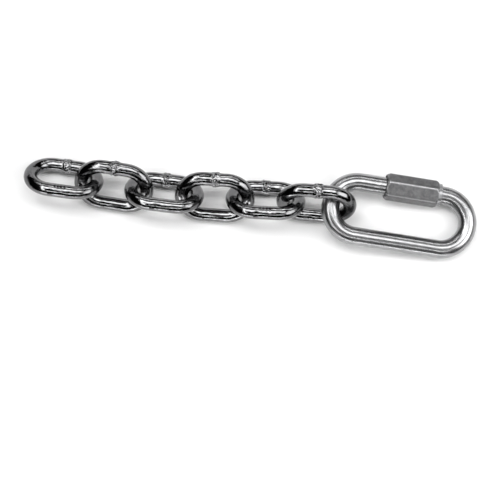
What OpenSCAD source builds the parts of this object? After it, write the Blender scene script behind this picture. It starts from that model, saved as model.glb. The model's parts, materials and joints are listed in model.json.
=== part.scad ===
// Safety chain: six welded chain links on a quick link that is closed by a long hex sleeve nut.
// +Z is up and +X runs from the free end of the chain to the quick link. The origin is on the
// floor, under the middle of the object, which lies stretched out as it would on a bench.

/* [Chain link] */
// Diameter of the chain wire
wire_d = 7.1; // [5:0.1:8]
// Width of the hole in a link
link_in_w = 15.6; // [13:0.1:20]
// Length of the hole in a link
link_in_l = 27.6; // [24:0.1:40]
// Height that the weld stands above the wire
weld_rise = 0.75; // [0.3:0.05:1.2]
// Length of the weld's swelling
weld_l = 5; // [3:0.5:10]
// Slack between a link and the next one
link_play = 1.1; // [0.9:0.1:3]

/* [Quick link] */
// Diameter of the quick link's rod
rod_d = 9.5; // [7:0.1:10.5]
// Width of the hole in the quick link
quick_in_w = 18.8; // [17:0.1:26]
// Length of the hole in the quick link
quick_in_l = 63.5; // [56:0.5:90]
// Slack between the quick link and the first chain link
quick_play = 1.6; // [1.5:0.1:3]
// Gap between the rod's two ends, which the nut closes
mouth_l = 9.5; // [7:0.1:11]
// Chamfer on each end of the rod
rod_chamfer = 0.7; // [0.2:0.1:1.2]

/* [Thread] */
// Pitch of the thread on both ends of the rod
pitch = 1.5; // [1:0.25:2]
// Depth of the thread
thread_depth = 0.8; // [0.4:0.1:1]
// Turns of the nut from closed to open
open_turns = 9; // [8:1:9]

/* [Sleeve nut] */
// Width of the nut across its flats
nut_af = 13; // [12:0.1:18]
// Length of the whole nut
nut_l = 29.6; // [24:0.1:31.5]
// Length of the round collar at the nut's outer end
collar_l = 2; // [1:0.1:4]
// Diameter of the round collar
collar_d = 11.8; // [11.5:0.1:17]
// Length along the nut of the chamfer on the hexagon's corners
corner_chamfer = 1.9; // [0.5:0.1:3]
// Width of the countersink that leads into the nut's bore
countersink = 0.9; // [0.3:0.1:1.2]
// Radial clearance between the nut's bore and the rod
nut_clear = 0.1; // [0.05:0.01:0.1]
// Distance from the nut, when it is closed, to the bend beside it
nut_shoulder = 2.15; // [0.75:0.05:6]
// Angle that the nut's flats are turned from level
nut_turn = 15; // [0:1:59]

/* [Lay on the floor] */
// Lean of the first link, from lying flat
first_lean = 66; // [60:1:80]
// Lean of the other links, to alternate sides
side_lean = 45; // [40:1:50]
// Sideways tip of the quick link, which lifts the nut's side
quick_roll = 2.5; // [1:0.5:5]
// Drop of the quick link's bar below the middle of the first link
quick_drop = 0.9; // [0:0.1:1.5]

/* [Hidden] */
$fn = 96;
eps = 0.01;

// Middle line of a chain link's wire and of the quick link's rod
link_w = link_in_w + wire_d;
link_l = link_in_l + wire_d;
weld_d = wire_d + 2 * weld_rise;
quick_w = quick_in_w + rod_d;
quick_l = quick_in_l + rod_d;

// Places along the quick link's gate side, measured from its middle
bend_x = (quick_l - quick_w) / 2;
nut_end = bend_x - nut_shoulder;
nut_start = nut_end - nut_l;
travel = open_turns * pitch;
open_margin = 0.2;
mouth_end = nut_end - (travel - mouth_l - open_margin);
mouth_start = mouth_end - mouth_l;
root_r = rod_d / 2 - thread_depth;
long_turns = open_turns;
short_turns = floor((bend_x - mouth_end) / pitch) - 1;
nut_corner_r = nut_af / sqrt(3);
flat_margin = 0.1;
chamfer_low_r = nut_af / 2 + flat_margin;

// Lean and heading of each link, counted outwards from the quick link
lean = [first_lean, -side_lean, side_lean, -side_lean, side_lean, -side_lean];
heading = [3, 5, 4, 1, -1, 0];

// A leaning link rests on its low side, and the weld is on the side away from -Y
function foot_r(i) = (lean[i] > 0 ? wire_d : weld_d) / 2;
function link_z(i) = link_w / 2 * sin(abs(lean[i])) + foot_r(i);

// The quick link's end bar hangs in the first link and its far end lies on the floor
quick_pitch = asin((link_z(0) - quick_drop - rod_d / 2) / quick_l);
rod_rise = bend_x * sin(quick_pitch)
    + quick_w / 2 * norm([sin(quick_pitch), sin(quick_roll) * cos(quick_pitch)]) + rod_d / 2;
corner_angles = [for (k = [0:5]) nut_turn + quick_roll + 30 + 60 * k];
nut_low_r = nut_corner_r * max([for (a = corner_angles) abs(sin(a))]);
nut_wide_r = nut_corner_r * max([for (a = corner_angles) abs(cos(a))]);
nut_rise = (nut_end - collar_l) * sin(quick_pitch) - quick_w / 2 * sin(quick_roll) + nut_low_r;
quick_z = max(rod_rise, nut_rise);

// Each link starts on the bar of the one before it
function outwards(i) = [-cos(heading[i]), -sin(heading[i])];
function bar_x(i) = (i == 0 ? rod_d + wire_d : 2 * wire_d) / 2 + (i == 0 ? quick_play : link_play);
function near_bar(i) = i == 0 ? [-quick_l / 2 * cos(quick_pitch), 0] : far_bar(i - 1);
function centre(i) = near_bar(i) + outwards(i) * (link_l / 2 - bar_x(i));
function far_bar(i) = centre(i) + outwards(i) * link_l / 2;

// Middle of the whole object's outline
right_x = bend_x * cos(quick_pitch) + quick_w / 2 + rod_d / 2;
left_x = far_bar(len(lean) - 1).x - wire_d / 2;
middle = [(right_x + left_x) / 2, (nut_wide_r - rod_d / 2) / 2];

// Half a ring of round bar that bends from +Y to -Y through +X
module bend(width, bar_d) {
    rotate(-90) rotate_extrude(angle = 180) translate([width / 2, 0]) circle(d = bar_d);
}

// Round bar along X, from one place to another
module bar(from, to, bar_d) {
    translate([from, 0, 0]) rotate([0, 90, 0]) cylinder(d = bar_d, h = to - from);
}

// Swelling of the weld, fair into the wire at both ends
module weld() {
    swell = (weld_d - wire_d) / 2;
    arc_r = (swell * swell + weld_l * weld_l / 4) / (2 * swell);
    rotate([0, 90, 0]) rotate_extrude() intersection() {
        translate([weld_d / 2 - arc_r, 0]) circle(r = arc_r, $fn = 180);
        translate([0, -weld_l]) square([weld_d, 2 * weld_l]);
    }
}

// One chain link lying flat, with its middle at the origin
module flat_link() {
    straight = link_l - link_w;
    for (side = [0, 180]) rotate(side) {
        translate([straight / 2, 0, 0]) bend(link_w, wire_d);
        translate([0, link_w / 2, 0]) bar(-straight / 2, straight / 2, wire_d);
    }
    translate([0, link_w / 2, 0]) weld();
}

module chain_link(i) {
    color("silver")
    translate([centre(i).x - middle.x, centre(i).y - middle.y, link_z(i)])
        rotate([lean[i], 0, heading[i]]) flat_link();
}

// Threaded end of the rod: it starts at the origin with its chamfer and grows along +X
module threaded_end(turns) {
    length = turns * pitch;
    flank = [for (k = [0:turns - 1]) each [[rod_d / 2, (k + 0.75) * pitch],
                                           [root_r, (k + 1.25) * pitch]]];
    first = [[0, 0], [rod_d / 2 - rod_chamfer, 0], [rod_d / 2, rod_chamfer]];
    last = [[rod_d / 2, length + pitch], [0, length + pitch]];
    rotate([0, 90, 0]) rotate_extrude() polygon(concat(first, flank, last));
}

// Where the quick link lies: its middle, pitched and tipped
module place_quick() {
    translate([-middle.x, -middle.y, quick_z]) rotate([quick_roll, quick_pitch, 0]) children();
}

module quick_link_body() {
    color("lightgray") place_quick() {
        translate([bend_x, 0, 0]) bend(quick_w, rod_d);
        translate([-bend_x, 0, 0]) rotate(180) bend(quick_w, rod_d);
        translate([0, -quick_w / 2, 0]) bar(-bend_x, bend_x, rod_d);
        translate([0, quick_w / 2, 0]) {
            bar(-bend_x, mouth_start - (long_turns + 1) * pitch + eps, rod_d);
            translate([mouth_start, 0, 0]) mirror([1, 0, 0]) threaded_end(long_turns);
            translate([mouth_end, 0, 0]) threaded_end(short_turns);
            bar(mouth_end + (short_turns + 1) * pitch - eps, bend_x, rod_d);
        }
    }
}

// Outline of the nut from its axis outwards: corner chamfers, then the collar
module nut_outline() {
    hex_l = nut_l - collar_l;
    polygon([[0, 0], [chamfer_low_r, 0], [nut_corner_r, corner_chamfer],
             [nut_corner_r, hex_l - corner_chamfer], [chamfer_low_r, hex_l],
             [collar_d / 2, hex_l], [collar_d / 2, nut_l], [0, nut_l]]);
}

// Bore with a countersink at each end
module nut_bore() {
    bore_r = rod_d / 2 + nut_clear;
    translate([0, 0, -eps]) cylinder(r = bore_r, h = nut_l + 2 * eps);
    translate([0, 0, -eps]) cylinder(r1 = bore_r + countersink, r2 = bore_r, h = countersink);
    translate([0, 0, nut_l - countersink / 2 + eps])
        cylinder(r1 = bore_r, r2 = bore_r + countersink / 2, h = countersink / 2);
}

module sleeve_nut() {
    color("darkgray") place_quick()
        translate([nut_start, quick_w / 2, 0]) rotate([0, 90, 0]) difference() {
            intersection() {
                rotate(30 + nut_turn) cylinder(r = nut_corner_r, h = nut_l, $fn = 6);
                rotate_extrude() nut_outline();
            }
            nut_bore();
        }
}

quick_link_body();
sleeve_nut();
chain_link(0);  // chain_link_1
chain_link(1);  // chain_link_2
chain_link(2);  // chain_link_3
chain_link(3);  // chain_link_4
chain_link(4);  // chain_link_5
chain_link(5);  // chain_link_6
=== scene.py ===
"""Looks for a short safety chain on a quick link, built around its packed CAD frame."""

import json
from math import asin, atan2, cos, exp, hypot, pi, radians, sin, sqrt

import bmesh
import bpy
from bpy.props import FloatProperty, FloatVectorProperty, IntProperty, PointerProperty
from mathutils import Matrix, Vector, noise


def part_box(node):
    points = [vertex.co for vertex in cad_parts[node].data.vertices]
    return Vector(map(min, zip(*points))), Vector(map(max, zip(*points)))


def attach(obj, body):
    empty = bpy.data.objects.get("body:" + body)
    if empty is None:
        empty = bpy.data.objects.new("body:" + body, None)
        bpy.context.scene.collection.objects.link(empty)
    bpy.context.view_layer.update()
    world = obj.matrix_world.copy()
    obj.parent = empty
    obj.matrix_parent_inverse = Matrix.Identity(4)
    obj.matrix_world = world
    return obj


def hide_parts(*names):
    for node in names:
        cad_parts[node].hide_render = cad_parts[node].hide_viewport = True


bl_info = {
    "name": "Safety Chain Maker",
    "version": (1, 0, 0),
    "blender": (4, 5, 0),
    "location": "View3D > Sidebar > Chain",
    "description": "Makes a welded safety chain on a quick link with a sleeve nut",
    "category": "Object",
}

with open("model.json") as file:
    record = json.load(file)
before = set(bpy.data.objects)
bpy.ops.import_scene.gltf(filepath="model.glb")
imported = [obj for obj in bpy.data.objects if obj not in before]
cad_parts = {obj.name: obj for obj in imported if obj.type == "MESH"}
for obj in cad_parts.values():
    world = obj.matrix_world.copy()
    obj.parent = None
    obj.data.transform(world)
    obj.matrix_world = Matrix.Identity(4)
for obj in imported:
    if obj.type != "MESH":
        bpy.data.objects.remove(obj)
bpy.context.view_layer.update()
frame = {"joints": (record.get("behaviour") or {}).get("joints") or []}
JOINTS = {joint["name"]: joint for joint in frame["joints"]}
MM = 0.001
LINK_COUNT = 6

# Heading of each link in degrees, from the quick link outwards
HEADINGS = (3, 5, 4, 1, -1, 0)

# Links that carry a small pressed mark
MARKED_LINKS = (2, 6)

# Faces around the bar, steps along each bend and cuts along a plain leg
LINK_MESH = (80, 48, 63)
ROD_MESH = (72, 64, 60)

# Steps around the nut, and the kinds of surface on it
NUT_STEPS = 144
NUT_KINDS = ("end", "flat", "collar", "bore")

# Light panels at one distance from the object: name, azimuth and tilt from overhead in degrees,
# size across and along the tilt in metres, radiance
PANEL_DISTANCE = 1.0
PANELS = (
    ("overhead_strip", -90, 12, (1.0, 0.36), 5.2),
    ("back_strip", -90, 54, (1.4, 0.12), 5.5),
    ("front_strip", 90, 36, (1.2, 0.09), 6.5),
    ("front_low_strip", 90, 87, (1.4, 0.08), 9.0),
    ("left_strip", 0, 30, (1.0, 0.12), 9.0),
    ("right_softbox", 180, 52, (0.7, 0.6), 5.0),
)


# ---------------------------------------------------------------- settings


class ChainSizes(bpy.types.PropertyGroup):
    """Sizes of the welded links"""

    wire: FloatProperty(
        name="Wire", description="Diameter of the wire", default=7.1 * MM, unit="LENGTH"
    )
    hole_width: FloatProperty(
        name="Hole width", description="Width inside a link", default=15.6 * MM, unit="LENGTH"
    )
    hole_length: FloatProperty(
        name="Hole length", description="Length inside a link", default=27.6 * MM, unit="LENGTH"
    )
    play: FloatProperty(
        name="Play", description="Slack between two links", default=1.1 * MM, unit="LENGTH"
    )
    burr: FloatProperty(
        name="Burr", description="Height of the weld burr", default=0.7 * MM, unit="LENGTH"
    )
    burr_width: FloatProperty(
        name="Burr width", description="Width of the weld burr", default=4.2 * MM, unit="LENGTH"
    )
    first_lean: FloatProperty(
        name="First lean", description="Lean of the link on the quick link", default=radians(66),
        subtype="ANGLE",
    )
    side_lean: FloatProperty(
        name="Side lean", description="Lean of the other links", default=radians(45), subtype="ANGLE"
    )


class QuickSizes(bpy.types.PropertyGroup):
    """Sizes of the quick link"""

    rod: FloatProperty(
        name="Rod", description="Diameter of the rod", default=9.5 * MM, unit="LENGTH"
    )
    hole_width: FloatProperty(
        name="Hole width", description="Width inside the quick link", default=18.8 * MM, unit="LENGTH"
    )
    hole_length: FloatProperty(
        name="Hole length", description="Length inside the quick link", default=63.5 * MM,
        unit="LENGTH",
    )
    play: FloatProperty(
        name="Play", description="Slack on the first link", default=1.6 * MM, unit="LENGTH"
    )
    mouth: FloatProperty(
        name="Mouth", description="Gap that the nut closes", default=9.5 * MM, unit="LENGTH"
    )
    roll: FloatProperty(
        name="Roll", description="Tip of the quick link about its length", default=radians(2.5),
        subtype="ANGLE",
    )


class NutSizes(bpy.types.PropertyGroup):
    """Sizes of the sleeve nut and its thread"""

    flats: FloatProperty(
        name="Flats", description="Width across flats", default=13 * MM, unit="LENGTH"
    )
    length: FloatProperty(
        name="Length", description="Whole length", default=29.6 * MM, unit="LENGTH"
    )
    collar_length: FloatProperty(
        name="Collar length", description="Length of the round collar", default=2 * MM, unit="LENGTH"
    )
    collar: FloatProperty(
        name="Collar", description="Diameter of the round collar", default=11.8 * MM, unit="LENGTH"
    )
    clearance: FloatProperty(
        name="Clearance", description="Radial clearance on the rod", default=0.1 * MM, unit="LENGTH"
    )
    shoulder: FloatProperty(
        name="Shoulder", description="Distance from the nut to the bend", default=2.15 * MM,
        unit="LENGTH",
    )
    turn: FloatProperty(
        name="Turn", description="Angle of the flats", default=radians(15), subtype="ANGLE"
    )
    pitch: FloatProperty(name="Pitch", description="Thread pitch", default=1.5 * MM, unit="LENGTH")
    thread_depth: FloatProperty(
        name="Thread depth", description="Depth of the thread", default=0.8 * MM, unit="LENGTH"
    )
    open_turns: IntProperty(name="Turns", description="Turns from closed to open", default=9)


class Finishes(bpy.types.PropertyGroup):
    """Colours of the metals and the floor"""

    chain: FloatVectorProperty(
        name="Chain", description="Zinc on the links", default=(0.215, 0.215, 0.219), subtype="COLOR"
    )
    rod: FloatVectorProperty(
        name="Rod", description="Polished rod", default=(0.31, 0.31, 0.315), subtype="COLOR"
    )
    nut: FloatVectorProperty(
        name="Nut", description="Milled nut", default=(0.17, 0.17, 0.173), subtype="COLOR"
    )
    floor: FloatVectorProperty(
        name="Floor", description="Pale floor", default=(0.9, 0.9, 0.9), subtype="COLOR"
    )


class StageSettings(bpy.types.PropertyGroup):
    """Camera and light"""

    azimuth: FloatProperty(
        name="Azimuth", description="Side that the camera looks from", default=radians(8),
        subtype="ANGLE",
    )
    elevation: FloatProperty(
        name="Elevation", description="Height of the camera's view", default=radians(82),
        subtype="ANGLE",
    )
    distance: FloatProperty(
        name="Distance", description="From the camera to its aim", default=0.92, unit="LENGTH"
    )
    view_width: FloatProperty(
        name="View width", description="Width of the view at the aim", default=0.261, unit="LENGTH"
    )
    aim: FloatVectorProperty(
        name="Aim", description="Point at the middle of the view",
        default=(0.0033, -0.0297, 0.0065), subtype="XYZ", unit="LENGTH",
    )


# ---------------------------------------------------------------- places


def rotation(x=0.0, y=0.0, z=0.0):
    """Turn about X, then Y, then Z."""
    return Matrix.Rotation(z, 4, "Z") @ Matrix.Rotation(y, 4, "Y") @ Matrix.Rotation(x, 4, "X")


def quick_place(scene):
    """Where the quick link lies: its first joint sits on the middle of its inner bend."""
    quick = scene.quick_sizes
    pitch = asin(JOINTS["nut_slide"]["axis"][2])
    turn = rotation(x=quick.roll, y=pitch)
    bar = Vector(JOINTS["link_1_swing"]["pos_m"])
    middle = bar + turn @ Vector(((quick.hole_length + quick.rod) / 2, 0, 0))
    return Matrix.Translation(middle) @ turn


def link_lean(scene, number):
    """Lean of a link: the first one is steep and the rest alternate."""
    chain = scene.chain_sizes
    if number == 1:
        return chain.first_lean
    return chain.side_lean if number % 2 else -chain.side_lean


def link_place(scene, number):
    """Where a link lies: it hangs on the bar at its joint and rests on its low side."""
    chain = scene.chain_sizes
    heading = radians(HEADINGS[number - 1])
    lean = link_lean(scene, number)
    bar = Vector(JOINTS[f"link_{number}_swing"]["pos_m"])
    other = scene.quick_sizes.rod if number == 1 else chain.wire
    play = scene.quick_sizes.play if number == 1 else chain.play
    reach = (chain.hole_length + chain.wire) / 2 - (other + chain.wire) / 2 - play
    low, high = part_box(f"chain_link_{number}")
    rise = (chain.hole_width + chain.wire) / 2 * sin(abs(lean)) + chain.wire / 2
    outwards = Vector((-cos(heading), -sin(heading), 0))
    middle = bar + outwards * reach
    middle.z = low.z + rise if lean > 0 else high.z - rise
    return Matrix.Translation(middle) @ rotation(x=lean, z=heading)


# ---------------------------------------------------------------- mesh helpers


def half_ring(bm, width, wire_r, around, steps):
    """Half a ring of round bar from +Y to -Y through +X; returns its vertices."""
    start = Matrix.Translation((0, width / 2, 0)) @ Matrix.Rotation(pi / 2, 4, "Y")
    ring = bmesh.ops.create_circle(bm, segments=around, radius=wire_r, matrix=start)["verts"]
    edges = list({edge for vert in ring for edge in vert.link_edges})
    before = set(bm.verts)
    bmesh.ops.spin(
        bm, geom=ring + edges, cent=(0, 0, 0), axis=(0, 0, 1), angle=-pi, steps=steps,
        use_merge=False,
    )
    return ring + [vert for vert in bm.verts if vert not in before]


def two_bends(bm, half_length, half_width, bar_r, around, steps):
    """Both bends of a long ring of round bar, open towards its legs."""
    verts = half_ring(bm, 2 * half_width, bar_r, around, steps)
    bmesh.ops.translate(bm, verts=verts, vec=(half_length, 0, 0))
    copy = bmesh.ops.duplicate(bm, geom=bm.verts[:] + bm.edges[:] + bm.faces[:])["geom"]
    copied = [item for item in copy if isinstance(item, bmesh.types.BMVert)]
    bmesh.ops.rotate(bm, verts=copied, cent=(0, 0, 0), matrix=Matrix.Rotation(pi, 3, "Z"))


def open_edges(bm, test):
    """Boundary edges whose middle passes the test."""
    return [
        edge for edge in bm.edges
        if edge.is_boundary and test((edge.verts[0].co + edge.verts[1].co) / 2)
    ]


def cut_leg(bm, side, half_length, cuts):
    """Cuts the long edges of a straight leg into even rings."""
    long_edges = [
        edge for edge in bm.edges
        if abs(edge.verts[0].co.x - edge.verts[1].co.x) > half_length
        and (edge.verts[0].co.y > 0) == (side > 0)
    ]
    bmesh.ops.subdivide_edges(bm, edges=long_edges, cuts=cuts, use_grid_fill=True)


def wire_point(co, half_length, half_width):
    """Place on a stadium of round bar: length along it, angle around it, centre and radius."""
    if abs(co.x) <= half_length:
        side = 1 if co.y > 0 else -1
        centre = Vector((co.x, side * half_width, 0))
        along = co.x * side
        out = Vector((0, side, 0))
        if side < 0:
            along += 2 * half_length + pi * half_width
    else:
        end = 1 if co.x > 0 else -1
        bend = atan2(co.y, abs(co.x) - half_length)
        out = Vector((end * cos(bend), sin(bend), 0))
        centre = Vector((end * half_length, 0, 0)) + out * half_width
        along = half_length + half_width * (pi / 2 - bend)
        if end < 0:
            along = -along
    offset = co - centre
    around = atan2(offset.z, offset.dot(out))
    return along, around, centre, offset.length


def add_wire_uv(bm, half_length, half_width, wire_r):
    """Lays a UV map in metres along and around the bar."""
    layer = bm.loops.layers.uv.new("along_wire")
    whole = 4 * half_length + 2 * pi * half_width
    for face in bm.faces:
        home = wire_point(face.calc_center_median(), half_length, half_width)
        for loop in face.loops:
            along, around, _, _ = wire_point(loop.vert.co, half_length, half_width)
            along += whole * round((home[0] - along) / whole)
            around += 2 * pi * round((home[1] - around) / (2 * pi))
            loop[layer].uv = (along, around * wire_r)


def finish_piece(bm, name, place, material, smooth_angle=None):
    """Turns the bmesh into an object in its place, with its normals outwards."""
    merge_distance = 1e-7
    bmesh.ops.remove_doubles(bm, verts=bm.verts, dist=merge_distance)
    bmesh.ops.recalc_face_normals(bm, faces=bm.faces)
    bmesh.ops.transform(bm, matrix=place, verts=bm.verts)
    for face in bm.faces:
        face.smooth = True
    if smooth_angle is not None:
        for edge in bm.edges:
            if len(edge.link_faces) == 2 and edge.calc_face_angle() > smooth_angle:
                edge.smooth = False
    mesh = bpy.data.meshes.new(name)
    bm.to_mesh(mesh)
    bm.free()
    mesh.materials.append(material)
    piece = bpy.data.objects.new(name, mesh)
    bpy.context.scene.collection.objects.link(piece)
    return piece


def bump_height(x, middle, width):
    """Round hump, 1 at its middle."""
    return exp(-(((x - middle) / width) ** 2))


# ---------------------------------------------------------------- materials


class MaterialBuilder:
    """Short names for the nodes that the metals share."""

    def __init__(self, name):
        self.material = bpy.data.materials.new(name)
        self.material.use_nodes = True
        self.tree = self.material.node_tree
        self.shader = self.tree.nodes["Principled BSDF"]
        self.object_co = self.tree.nodes.new("ShaderNodeTexCoord").outputs["Object"]

    def link(self, output, socket):
        self.tree.links.new(output, socket)

    def mapped(self, output, scale):
        node = self.tree.nodes.new("ShaderNodeMapping")
        node.inputs["Scale"].default_value = scale
        self.link(output, node.inputs["Vector"])
        return node.outputs["Vector"]

    def uv(self, layer):
        node = self.tree.nodes.new("ShaderNodeUVMap")
        node.uv_map = layer
        return node.outputs["UV"]

    def attribute(self, name):
        node = self.tree.nodes.new("ShaderNodeAttribute")
        node.attribute_name = name
        return node.outputs["Fac"]

    def noise(self, vector, scale, detail=3.0, rough=0.5, distortion=0.0):
        node = self.tree.nodes.new("ShaderNodeTexNoise")
        node.inputs["Scale"].default_value = scale
        node.inputs["Detail"].default_value = detail
        node.inputs["Roughness"].default_value = rough
        node.inputs["Distortion"].default_value = distortion
        self.link(vector, node.inputs["Vector"])
        return node.outputs["Fac"]

    def ranged(self, value, low, high, to_low, to_high):
        node = self.tree.nodes.new("ShaderNodeMapRange")
        node.inputs["From Min"].default_value = low
        node.inputs["From Max"].default_value = high
        node.inputs["To Min"].default_value = to_low
        node.inputs["To Max"].default_value = to_high
        self.link(value, node.inputs["Value"])
        return node.outputs["Result"]

    def math(self, operation, first, second):
        node = self.tree.nodes.new("ShaderNodeMath")
        node.operation = operation
        for socket, value in zip(node.inputs, (first, second)):
            if isinstance(value, (int, float)):
                socket.default_value = value
            else:
                self.link(value, socket)
        return node.outputs["Value"]

    def blend(self, factor, first, second):
        colour_a, colour_b, colour_result = 6, 7, 2
        node = self.tree.nodes.new("ShaderNodeMix")
        node.data_type = "RGBA"
        self.link(factor, node.inputs["Factor"])
        for index, value in ((colour_a, first), (colour_b, second)):
            if isinstance(value, tuple):
                node.inputs[index].default_value = value
            else:
                self.link(value, node.inputs[index])
        return node.outputs[colour_result]

    def bump(self, height, distance, under=None):
        node = self.tree.nodes.new("ShaderNodeBump")
        node.inputs["Distance"].default_value = distance
        node.inputs["Strength"].default_value = 1.0
        self.link(height, node.inputs["Height"])
        if under is not None:
            self.link(under, node.inputs["Normal"])
        return node.outputs["Normal"]


def shade(colour, share):
    """The colour made darker or lighter by a share, with alpha."""
    return tuple(min(1.0, channel * share) for channel in colour) + (1.0,)


def zinc_wire(colour):
    """Bright zinc over drawn wire: sharp wavy reflections, dark streaks, dull scale at the weld."""
    make = MaterialBuilder("zinc_wire")
    heat = make.attribute("heat")
    # Painted shade: the bends and the pressed marks blend, at most 0.7, towards 0.42 of the colour
    painted_shade = make.math("MULTIPLY", make.attribute("painted_shade"), 0.7)
    streak_co = make.mapped(make.uv("along_wire"), (50, 1400, 1))
    streaks = make.noise(streak_co, 1.0, detail=4)
    clouds = make.noise(make.object_co, 420, detail=4, rough=0.6)
    specks = make.noise(make.object_co, 2600, detail=2, rough=0.6)
    tone = make.blend(
        make.ranged(clouds, 0.35, 0.68, 0, 1), shade(colour, 0.78), shade(colour, 1.22)
    )
    lined = make.blend(make.ranged(streaks, 0.53, 0.66, 0, 0.85), tone, shade(colour, 0.3))
    scaled = make.blend(make.math("MULTIPLY", heat, 0.4), lined, shade(colour, 0.5))
    painted_shade_colour = make.blend(painted_shade, scaled, shade(colour, 0.42))
    make.link(painted_shade_colour, make.shader.inputs["Base Color"])
    gloss = make.ranged(streaks, 0.3, 0.75, 0.05, 0.14)
    dull = make.math("ADD", gloss, make.math("MULTIPLY", heat, 0.14))
    pits = make.ranged(specks, 0.60, 0.78, 0, 0.2)
    make.link(make.math("ADD", dull, pits), make.shader.inputs["Roughness"])
    waves = make.bump(make.noise(make.object_co, 190, detail=2, rough=0.45), 0.0003)
    lines = make.bump(streaks, 0.0001, under=waves)
    make.link(make.bump(specks, 0.00001, under=lines), make.shader.inputs["Normal"])
    make.shader.inputs["Metallic"].default_value = 1.0
    return make.material


def polished_rod(colour):
    """Drawn and polished rod: long fine lines and soft bright reflections."""
    make = MaterialBuilder("polished_rod")
    line_co = make.mapped(make.uv("along_wire"), (28, 2400, 1))
    lines = make.noise(line_co, 1.0, detail=5, rough=0.6)
    clouds = make.noise(make.object_co, 260, detail=4, rough=0.6)
    specks = make.noise(make.object_co, 3200, detail=2, rough=0.6)
    tone = make.blend(
        make.ranged(clouds, 0.32, 0.7, 0, 1), shade(colour, 0.84), shade(colour, 1.14)
    )
    make.link(tone, make.shader.inputs["Base Color"])
    gloss = make.ranged(lines, 0.3, 0.72, 0.21, 0.34)
    pits = make.ranged(specks, 0.62, 0.8, 0, 0.15)
    make.link(make.math("ADD", gloss, pits), make.shader.inputs["Roughness"])
    waves = make.bump(make.noise(make.object_co, 120, detail=2, rough=0.4), 0.00016)
    make.link(make.bump(lines, 0.000014, under=waves), make.shader.inputs["Normal"])
    make.shader.inputs["Metallic"].default_value = 1.0
    return make.material


def milled_nut(colour):
    """Milled and tumbled nut: matte mottled flats, bright edges, partly rubbed and partly a painted
    highlight.
    """
    make = MaterialBuilder("milled_nut")
    rub_and_highlight = make.attribute("rub_and_highlight")
    blotches = make.noise(make.object_co, 330, detail=6, rough=0.68, distortion=0.4)
    grain = make.noise(make.object_co, 1500, detail=4, rough=0.65)
    scratch_co = make.mapped(make.uv("along_nut"), (160, 1500, 1))
    scratches = make.noise(scratch_co, 1.0, detail=3, rough=0.6)
    tone = make.blend(
        make.ranged(blotches, 0.34, 0.68, 0, 1), shade(colour, 0.7), shade(colour, 1.25)
    )
    # Painted highlight and real rub: edges and collar blend towards 3.2 times the colour
    bright = make.blend(make.math("MULTIPLY", rub_and_highlight, 0.9), tone, shade(colour, 3.2))
    make.link(bright, make.shader.inputs["Base Color"])
    matte = make.ranged(grain, 0.3, 0.7, 0.36, 0.56)
    rubbed = make.math("SUBTRACT", matte, make.math("MULTIPLY", rub_and_highlight, 0.15))
    make.link(rubbed, make.shader.inputs["Roughness"])
    first = make.bump(blotches, 0.00012)
    second = make.bump(scratches, 0.00002, under=first)
    make.link(make.bump(grain, 0.000025, under=second), make.shader.inputs["Normal"])
    make.shader.inputs["Metallic"].default_value = 1.0
    return make.material


def pale_floor(colour):
    """Plain matte floor."""
    make = MaterialBuilder("pale_floor")
    make.shader.inputs["Base Color"].default_value = (*colour, 1)
    make.shader.inputs["Roughness"].default_value = 0.9
    return make.material


# ---------------------------------------------------------------- chain link


def burr_height(scene, spot, seed):
    """Height of the weld burr above the wire: a lumpy collar with ragged edges."""
    chain = scene.chain_sizes
    place = spot + Vector((0, 0, seed))
    wander = 0.5 * MM * noise.noise(place / (2.5 * MM))
    collar = exp(-(((spot.x + wander) / (chain.burr_width / 2)) ** 4))
    coarse = 0.7 * noise.noise(place / (1.5 * MM))
    fine = 0.45 * noise.noise(place / (0.75 * MM))
    return chain.burr * collar * min(1.0, max(0.05, 0.5 + coarse + fine))


def pressed_mark(x, around):
    """Strength of the pressed mark on the inner side of a link: four plain stand-in strokes."""
    strokes, stroke_gap, stroke_w = 4, 1.7 * MM, 0.42 * MM
    place, stroke_angle = radians(74), radians(20)
    total = 0.0
    for k in range(strokes):
        middle = (k - (strokes - 1) / 2) * stroke_gap
        total += bump_height(x, middle, stroke_w) * bump_height(around, place, stroke_angle)
    return min(1.0, total)


def shape_link(scene, bm, number):
    """Gives a plain link its burr, mark and slight unevenness, and says where shade is painted."""
    chain = scene.chain_sizes
    uneven, uneven_length = 0.05 * MM, 6 * MM
    mark_depth, heat_length = 0.28 * MM, 4 * MM
    noise_step, burr_step = 11.0, 0.1
    half_width = (chain.hole_width + chain.wire) / 2
    half_length = (chain.hole_length - chain.hole_width) / 2
    wire_r = chain.wire / 2
    heat = bm.verts.layers.float.new("heat")
    painted_shade = bm.verts.layers.float.new("painted_shade")
    for vert in bm.verts:
        along, around, centre, radius = wire_point(vert.co, half_length, half_width)
        # Painted shade on the bends, which mirror the pale floor: a stand-in, no known finish
        vert[painted_shade] = min(1.0, max(0.0, (abs(vert.co.x) - half_length) / half_width))
        spot = vert.co / uneven_length + Vector((0, 0, noise_step * number))
        change = -uneven * (0.5 + 0.5 * noise.noise(spot))
        if vert.co.y > 0 and abs(vert.co.x) <= half_length:
            change += burr_height(scene, vert.co, burr_step * number)
        if vert.co.y > 0:
            vert[heat] = bump_height(along, 0, heat_length)
        elif number in MARKED_LINKS and abs(vert.co.x) <= half_length:
            pressed = pressed_mark(vert.co.x, around)
            change -= mark_depth * pressed
            # Painted shade in the dents of the pressed mark
            vert[painted_shade] = pressed
        vert.co = centre + (vert.co - centre) * ((wire_r + change) / radius)


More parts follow.
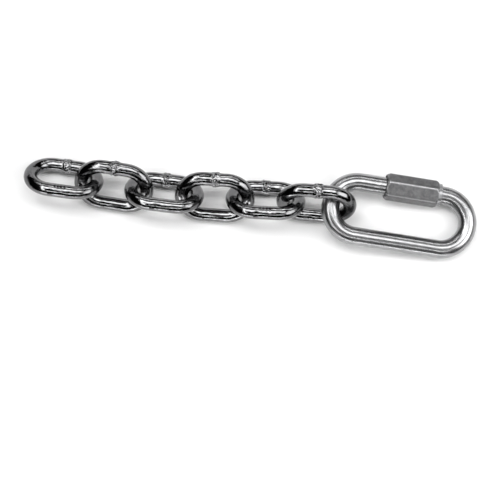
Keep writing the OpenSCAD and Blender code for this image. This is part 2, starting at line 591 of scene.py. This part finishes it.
def build_link(scene, number, material):
    """One welded link as a closed mesh in its place."""
    chain = scene.chain_sizes
    half_width = (chain.hole_width + chain.wire) / 2
    half_length = (chain.hole_length - chain.hole_width) / 2
    around, steps, cuts = LINK_MESH
    bm = bmesh.new()
    two_bends(bm, half_length, half_width, chain.wire / 2, around, steps)
    for side in (1, -1):
        bmesh.ops.bridge_loops(bm, edges=open_edges(bm, lambda co: co.y * side > 0))
        cut_leg(bm, side, half_length, cuts)
    add_wire_uv(bm, half_length, half_width, chain.wire / 2)
    shape_link(scene, bm, number)
    return finish_piece(bm, f"welded_link_{number}", link_place(scene, number), material)


# ---------------------------------------------------------------- quick link


def thread_cut(depth_into, around, pitch, depth):
    """How far the thread groove is cut at a distance into the thread, on a right-hand helix."""
    phase = (depth_into / pitch - around / (2 * pi)) % 1.0
    ridge = abs(2 * phase - 1)
    return depth * min(1.0, max(0.0, 1.25 * ridge - 0.12))


def quick_layout(scene):
    """Places along the gate side, from the middle of the quick link."""
    quick, nut = scene.quick_sizes, scene.nut_sizes
    bend = (quick.hole_length - quick.hole_width) / 2
    nut_end = bend - nut.shoulder
    travel = nut.open_turns * nut.pitch
    open_margin = 0.2 * MM
    mouth_end = nut_end - (travel - quick.mouth - open_margin)
    return {
        "bend": bend,
        "nut_start": nut_end - nut.length,
        "nut_end": nut_end,
        "mouth_start": mouth_end - quick.mouth,
        "mouth_end": mouth_end,
        "thread_start": mouth_end - quick.mouth - travel,
    }


def extrude_leg(bm, loop_edges, shift, cuts):
    """Extrudes an open ring along X by the shift and cuts it into rings; returns the end ring."""
    made = bmesh.ops.extrude_edge_only(bm, edges=loop_edges)["geom"]
    verts = [item for item in made if isinstance(item, bmesh.types.BMVert)]
    ends = [item for item in made if isinstance(item, bmesh.types.BMEdge) and item.is_boundary]
    bmesh.ops.translate(bm, verts=verts, vec=(shift, 0, 0))
    sides = [
        edge for edge in bm.edges
        if (edge.verts[0] in verts) != (edge.verts[1] in verts)
    ]
    bmesh.ops.subdivide_edges(bm, edges=sides, cuts=cuts, use_grid_fill=True)
    return ends


def shape_rod(scene, bm, layout):
    """Cuts the helix into both ends and gives the rod a little unevenness."""
    quick, nut = scene.quick_sizes, scene.nut_sizes
    half_width = (quick.hole_width + quick.rod) / 2
    half_length = layout["bend"]
    rod_r = quick.rod / 2
    chamfer, run_out = 0.7 * MM, 0.6 * MM
    uneven, uneven_length = 0.03 * MM, 9 * MM
    for vert in bm.verts:
        _, around, centre, radius = wire_point(vert.co, half_length, half_width)
        x = vert.co.x
        change = -uneven * (0.5 + 0.5 * noise.noise(vert.co / uneven_length))
        if vert.co.y > 0 and layout["thread_start"] < x < layout["nut_end"]:
            fade = min(1, (x - layout["thread_start"]) / run_out, (layout["nut_end"] - x) / run_out)
            into = x - layout["mouth_end"]
            change -= fade * thread_cut(into, around, nut.pitch, nut.thread_depth)
            to_mouth = min(abs(x - layout["mouth_start"]), abs(x - layout["mouth_end"]))
            change = min(change, to_mouth - chamfer)
        vert.co = centre + (vert.co - centre) * ((rod_r + change) / radius)


def build_rod(scene, material):
    """The quick link's bent rod, open at its mouth, with a thread on both ends."""
    quick = scene.quick_sizes
    layout = quick_layout(scene)
    half_width = (quick.hole_width + quick.rod) / 2
    half_length = layout["bend"]
    rod_r = quick.rod / 2
    around, steps, cuts = ROD_MESH
    rings_a_turn = 12
    plain_cuts, shoulder_cuts = 20, 6
    bm = bmesh.new()
    two_bends(bm, half_length, half_width, rod_r, around, steps)
    bmesh.ops.bridge_loops(bm, edges=open_edges(bm, lambda co: co.y < 0))
    cut_leg(bm, -1, half_length, cuts)
    ring_gap = scene.nut_sizes.pitch / rings_a_turn
    left = open_edges(bm, lambda co: co.x < 0)
    plain = layout["thread_start"] + half_length
    left = extrude_leg(bm, left, plain, plain_cuts)
    threaded = layout["mouth_start"] - layout["thread_start"]
    left = extrude_leg(bm, left, threaded, round(threaded / ring_gap))
    right = open_edges(bm, lambda co: co.x > layout["mouth_end"])
    right = extrude_leg(bm, right, layout["nut_end"] - half_length, shoulder_cuts)
    stub = layout["nut_end"] - layout["mouth_end"]
    right = extrude_leg(bm, right, -stub, round(stub / ring_gap))
    add_wire_uv(bm, half_length, half_width, rod_r)
    shape_rod(scene, bm, layout)
    for ends in (left, right):
        face = bmesh.ops.contextual_create(bm, geom=ends)["faces"]
        bmesh.ops.inset_region(bm, faces=face, thickness=rod_r * 0.25, use_even_offset=True)
    return finish_piece(bm, "quick_link_rod", quick_place(scene), material, radians(50))


# ---------------------------------------------------------------- sleeve nut


def soft_min(first, second, softness):
    """The smaller of two lengths, rounded where they meet."""
    gap = max(0.0, softness - abs(first - second)) / softness
    return min(first, second) - gap * gap * softness / 4


def hexagon_radius(angle, flats, corner):
    """Distance from the axis to a hexagon's side, with its corners rounded."""
    nearest = (angle + pi / 6) % (pi / 3) - pi / 6
    side = flats / 2 / cos(nearest)
    return soft_min(side, flats / sqrt(3) - corner, 2.2 * corner)


def add_nut_uv(bm, radius):
    """Lays a UV map in metres along and around the nut."""
    layer = bm.loops.layers.uv.new("along_nut")
    for face in bm.faces:
        middle = face.calc_center_median()
        home = atan2(middle.z, middle.y)
        for loop in face.loops:
            angle = atan2(loop.vert.co.z, loop.vert.co.y)
            angle += 2 * pi * round((home - angle) / (2 * pi))
            loop[layer].uv = (loop.vert.co.x, angle * radius)


def nut_profile(scene):
    """Closed outline of the nut's wall, as x, radius and kind, from its inner end and back to it."""
    nut, quick = scene.nut_sizes, scene.quick_sizes
    bore = quick.rod / 2 + nut.clearance
    hex_l = nut.length - nut.collar_length
    corner = nut.flats / sqrt(3)
    collar = nut.collar / 2
    sink, edge = 0.9 * MM, 0.15 * MM
    outer_rows, inner_rows, step = 64, 150, 0.02 * MM
    outline = [(0, bore + sink, "end")]
    for k in range(outer_rows + 1):
        outline.append((hex_l * k / outer_rows, corner, "flat"))
    outline += [
        (hex_l + step, collar + edge, "end"),
        (hex_l + edge, collar, "collar"),
        (nut.length - edge, collar, "collar"),
        (nut.length, collar - edge, "end"),
        (nut.length, bore + sink / 2, "end"),
        (nut.length - sink / 2, bore, "bore"),
    ]
    run = nut.length - 1.5 * sink
    for k in range(1, inner_rows + 1):
        outline.append((nut.length - sink / 2 - run * k / inner_rows, bore, "bore"))
    return outline


def build_nut(scene, material):
    """The sleeve nut: a chamfered hexagon with a round collar and a threaded bore."""
    nut, quick = scene.nut_sizes, scene.quick_sizes
    outline = nut_profile(scene)
    layout = quick_layout(scene)
    bm = bmesh.new()
    kinds = bm.verts.layers.int.new("kind")
    rub_and_highlight = bm.verts.layers.float.new("rub_and_highlight")
    rim = [bm.verts.new((x, 0, radius)) for x, radius, _ in outline]
    for vert, (_, _, kind) in zip(rim, outline):
        vert[kinds] = NUT_KINDS.index(kind)
    edges = [bm.edges.new((rim[k], rim[(k + 1) % len(rim)])) for k in range(len(rim))]
    bmesh.ops.spin(
        bm, geom=rim + edges, cent=(0, 0, 0), axis=(1, 0, 0), angle=2 * pi, steps=NUT_STEPS,
        use_merge=True,
    )
    shape_nut(scene, bm, kinds, rub_and_highlight)
    add_nut_uv(bm, nut.flats / 2)
    half_width = (quick.hole_width + quick.rod) / 2
    shift = Matrix.Translation((layout["nut_start"], half_width, 0))
    return finish_piece(bm, "hex_sleeve_nut", quick_place(scene) @ shift, material, radians(40))


def flat_radius(nut, x, angle):
    """Radius of the hexagon at a place, within the chamfers at its ends, and its rub and painted
    highlight.
    """
    hex_l = nut.length - nut.collar_length
    corner, softness = 0.2 * MM, 0.12 * MM
    start_drop, finish_rise = 0.3 * MM, 0.06 * MM
    start_slope, finish_slope = 0.75, 0.6
    side = hexagon_radius(angle, nut.flats, corner)
    start = nut.flats / 2 - start_drop + start_slope * x
    finish = nut.flats / 2 + finish_rise + finish_slope * (hex_l - x)
    nearest = (angle + pi / 6) % (pi / 3) - pi / 6
    # The ridges and chamfer ends are painted bright: partly rubbed metal, partly a painted highlight
    ridge = bump_height(abs(nearest), pi / 6, radians(3.2))
    ends = max(bump_height(start, side, 0.1 * MM), bump_height(finish, side, 0.1 * MM))
    radius = soft_min(soft_min(side, start, softness), finish, softness)
    return radius, min(1.0, 0.9 * ridge + 0.4 * ends)


def bore_radius(scene, x, angle):
    """Radius of the bore, with the thread cut into its outer end."""
    nut, quick = scene.nut_sizes, scene.quick_sizes
    bore = quick.rod / 2 + nut.clearance
    thread_from = nut.length - nut.open_turns * nut.pitch
    if x <= thread_from:
        return bore
    depth = 0.45 * MM
    fade = min(1.0, (x - thread_from) / nut.pitch)
    phase = ((x - nut.length) / nut.pitch - angle / (2 * pi)) % 1.0
    return bore + fade * depth * (1 - abs(2 * phase - 1))


def shape_nut(scene, bm, kinds, rub_and_highlight):
    """Presses the round blank into a hexagon, chamfers it and cuts the bore's thread."""
    nut = scene.nut_sizes
    dent_depth, dent_length = 0.035 * MM, 3.5 * MM
    collar_rub_and_highlight = 0.5
    for vert in bm.verts:
        radius = hypot(vert.co.y, vert.co.z)
        angle = atan2(vert.co.z, vert.co.y) + pi / 2 - nut.turn
        kind = NUT_KINDS[vert[kinds]]
        target = radius
        if kind == "flat":
            target, vert[rub_and_highlight] = flat_radius(nut, vert.co.x, angle)
            dent = noise.noise(vert.co / dent_length)
            target -= dent_depth * (0.5 + 0.5 * dent)
        elif kind == "collar":
            # The collar is painted brighter too: partly rub, partly a painted highlight
            vert[rub_and_highlight] = collar_rub_and_highlight
        elif kind == "bore":
            target = bore_radius(scene, vert.co.x, angle)
        vert.co.y *= target / radius
        vert.co.z *= target / radius


# ---------------------------------------------------------------- operators


class CHAIN_OT_links(bpy.types.Operator):
    """Make the six welded links"""

    bl_idname = "chain.make_links"
    bl_label = "Make Links"

    def execute(self, context):
        scene = context.scene
        material = zinc_wire(scene.finishes.chain)
        for number in range(1, LINK_COUNT + 1):
            link = build_link(scene, number, material)
            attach(link, f"link_{number}")
            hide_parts(f"chain_link_{number}")
        return {"FINISHED"}


class CHAIN_OT_quick_link(bpy.types.Operator):
    """Make the quick link's rod with its threaded ends"""

    bl_idname = "chain.make_quick_link"
    bl_label = "Make Quick Link"

    def execute(self, context):
        scene = context.scene
        rod = build_rod(scene, polished_rod(scene.finishes.rod))
        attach(rod, "quick_link")
        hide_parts("quick_link_body")
        return {"FINISHED"}


class CHAIN_OT_nut(bpy.types.Operator):
    """Make the hexagonal sleeve nut"""

    bl_idname = "chain.make_nut"
    bl_label = "Make Sleeve Nut"

    def execute(self, context):
        scene = context.scene
        nut = build_nut(scene, milled_nut(scene.finishes.nut))
        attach(nut, "nut")
        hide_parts("sleeve_nut")
        return {"FINISHED"}


def add_panel(name, azimuth, tilt, size, radiance):
    """A soft light panel that faces the object from an azimuth, tilted down from overhead."""
    away = Matrix.Rotation(radians(azimuth), 4, "Z") @ Matrix.Rotation(-radians(tilt), 4, "Y")
    light = bpy.data.lights.new(name, "AREA")
    light.shape = "RECTANGLE"
    light.size, light.size_y = size
    light.energy = radiance * pi * size[0] * size[1]
    lamp = bpy.data.objects.new(name, light)
    out = Matrix.Translation((0, 0, PANEL_DISTANCE))
    lamp.matrix_world = away @ out @ Matrix.Rotation(pi / 2, 4, "Z")
    bpy.context.scene.collection.objects.link(lamp)


def studio_world():
    """A dim room: nearly black at eye level and grey overhead."""
    low, high = 0.5, 1.0
    dark, grey = 0.08, 0.25
    world = bpy.data.worlds.new("studio")
    world.use_nodes = True
    tree = world.node_tree
    direction = tree.nodes.new("ShaderNodeTexCoord").outputs["Generated"]
    split = tree.nodes.new("ShaderNodeSeparateXYZ")
    tree.links.new(direction, split.inputs["Vector"])
    height = tree.nodes.new("ShaderNodeMapRange")
    height.interpolation_type = "SMOOTHSTEP"
    height.inputs["From Min"].default_value = low
    height.inputs["From Max"].default_value = high
    height.inputs["To Min"].default_value = dark
    height.inputs["To Max"].default_value = grey
    tree.links.new(split.outputs["Z"], height.inputs["Value"])
    tree.links.new(height.outputs["Result"], tree.nodes["Background"].inputs["Strength"])
    return world


class CHAIN_OT_stage(bpy.types.Operator):
    """Make the floor, the lights and the camera"""

    bl_idname = "chain.make_stage"
    bl_label = "Make Stage"

    def execute(self, context):
        scene = context.scene
        stage = scene.stage_settings
        floor_half = 4.0
        bm = bmesh.new()
        bmesh.ops.create_grid(bm, x_segments=1, y_segments=1, size=floor_half)
        floor = finish_piece(bm, "floor", Matrix.Identity(4), pale_floor(scene.finishes.floor))
        for panel in PANELS:
            add_panel(*panel)
        scene.world = studio_world()
        scene.view_settings.view_transform = "Standard"
        low, high = cos(stage.elevation), sin(stage.elevation)
        back = Vector((sin(stage.azimuth) * low, -cos(stage.azimuth) * low, high))
        camera = bpy.data.cameras.new("camera")
        camera.sensor_width = 36
        camera.lens = camera.sensor_width * stage.distance / stage.view_width
        eye = bpy.data.objects.new("camera", camera)
        eye.location = Vector(stage.aim) + back * stage.distance
        eye.rotation_euler = back.to_track_quat("Z", "Y").to_euler()
        scene.collection.objects.link(eye)
        scene.camera = eye
        return {"FINISHED"}


class CHAIN_PT_panel(bpy.types.Panel):
    """Lists the makers and their settings"""

    bl_label = "Safety Chain"
    bl_idname = "CHAIN_PT_panel"
    bl_space_type = "VIEW_3D"
    bl_region_type = "UI"
    bl_category = "Chain"

    def draw(self, context):
        layout = self.layout
        for operator in OPERATORS:
            layout.operator(operator.bl_idname)
        for name, kind in SETTINGS.items():
            box = layout.box()
            box.label(text=kind.__doc__)
            for key in kind.__annotations__:
                box.prop(getattr(context.scene, name), key)


SETTINGS = {
    "chain_sizes": ChainSizes,
    "quick_sizes": QuickSizes,
    "nut_sizes": NutSizes,
    "finishes": Finishes,
    "stage_settings": StageSettings,
}
OPERATORS = (CHAIN_OT_stage, CHAIN_OT_links, CHAIN_OT_quick_link, CHAIN_OT_nut)


def register():
    for kind in (*SETTINGS.values(), *OPERATORS, CHAIN_PT_panel):
        bpy.utils.register_class(kind)
    for name, kind in SETTINGS.items():
        setattr(bpy.types.Scene, name, PointerProperty(type=kind))


def unregister():
    for name in SETTINGS:
        delattr(bpy.types.Scene, name)
    for kind in reversed((*SETTINGS.values(), *OPERATORS, CHAIN_PT_panel)):
        bpy.utils.unregister_class(kind)


def main():
    register()
    bpy.ops.chain.make_stage()
    bpy.ops.chain.make_links()
    bpy.ops.chain.make_quick_link()
    bpy.ops.chain.make_nut()


if __name__ == "__main__":
    main()
